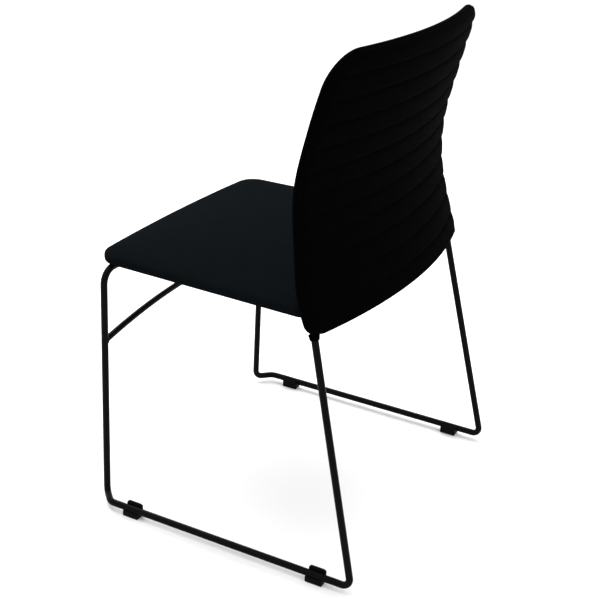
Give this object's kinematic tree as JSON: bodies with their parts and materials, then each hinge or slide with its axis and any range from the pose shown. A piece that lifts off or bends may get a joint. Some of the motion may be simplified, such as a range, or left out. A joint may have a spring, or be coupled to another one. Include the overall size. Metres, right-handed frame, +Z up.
{
  "type": "stacking chair",
  "caption": "Stacking chair: a bent rod sled frame carries a padded seat and a thin curved back upholstered in black fabric with stitched channels across its rear.",
  "frame": {"origin": "on the floor, under the middle of the chair's box", "axes": "+Z up, -Y the way the sitter faces, +X the sitter's left"},
  "size_m": [0.5498, 0.4925, 0.7917],
  "materials": {
    "frame_paint": "satin black powder coat",
    "zinc": "zinc plated",
    "cover_fabric": "black woven upholstery fabric",
    "seat_fabric": "black woven upholstery fabric, very slightly blue",
    "foam": "moulded grey foam",
    "plywood": "sanded beech plywood",
    "black_plastic": "matt black moulded nylon",
    "liner": "black non-woven dust cloth"
  },
  "bodies": {
    "root": {"back_cover_front": "cover_fabric", "back_cover_rear": "cover_fabric", "back_foam_front": "foam", "back_foam_rear": "foam", "back_hem_strip": "black_plastic", "back_lug_lower_left": "frame_paint", "back_lug_lower_right": "frame_paint", "back_lug_upper_left": "frame_paint", "back_lug_upper_right": "frame_paint", "back_panel": "plywood", "back_rivet_lower_left": "zinc", "back_rivet_lower_right": "zinc", "back_rivet_upper_left": "zinc", "back_rivet_upper_right": "zinc", "frame_rod_left": "frame_paint", "frame_rod_right": "frame_paint", "front_cross_bar": "frame_paint", "glide_front_left": "black_plastic", "glide_front_right": "black_plastic", "glide_rear_left": "black_plastic", "glide_rear_right": "black_plastic", "glide_screw_front_left": "zinc", "glide_screw_front_right": "zinc", "glide_screw_rear_left": "zinc", "glide_screw_rear_right": "zinc", "rear_cross_rail": "frame_paint", "rear_leg_collar_left": "black_plastic", "rear_leg_collar_right": "black_plastic", "seat_board": "plywood", "seat_cover": "seat_fabric", "seat_foam": "foam", "seat_liner": "liner", "seat_nut_front_left": "zinc", "seat_nut_front_right": "zinc", "seat_nut_rear_left": "zinc", "seat_nut_rear_right": "zinc", "seat_screw_front_left": "zinc", "seat_screw_front_right": "zinc", "seat_screw_rear_left": "zinc", "seat_screw_rear_right": "zinc", "seat_tab_front_left": "frame_paint", "seat_tab_front_right": "frame_paint", "seat_tab_rear_left": "frame_paint", "seat_tab_rear_right": "frame_paint"}
  },
  "joints": []
}
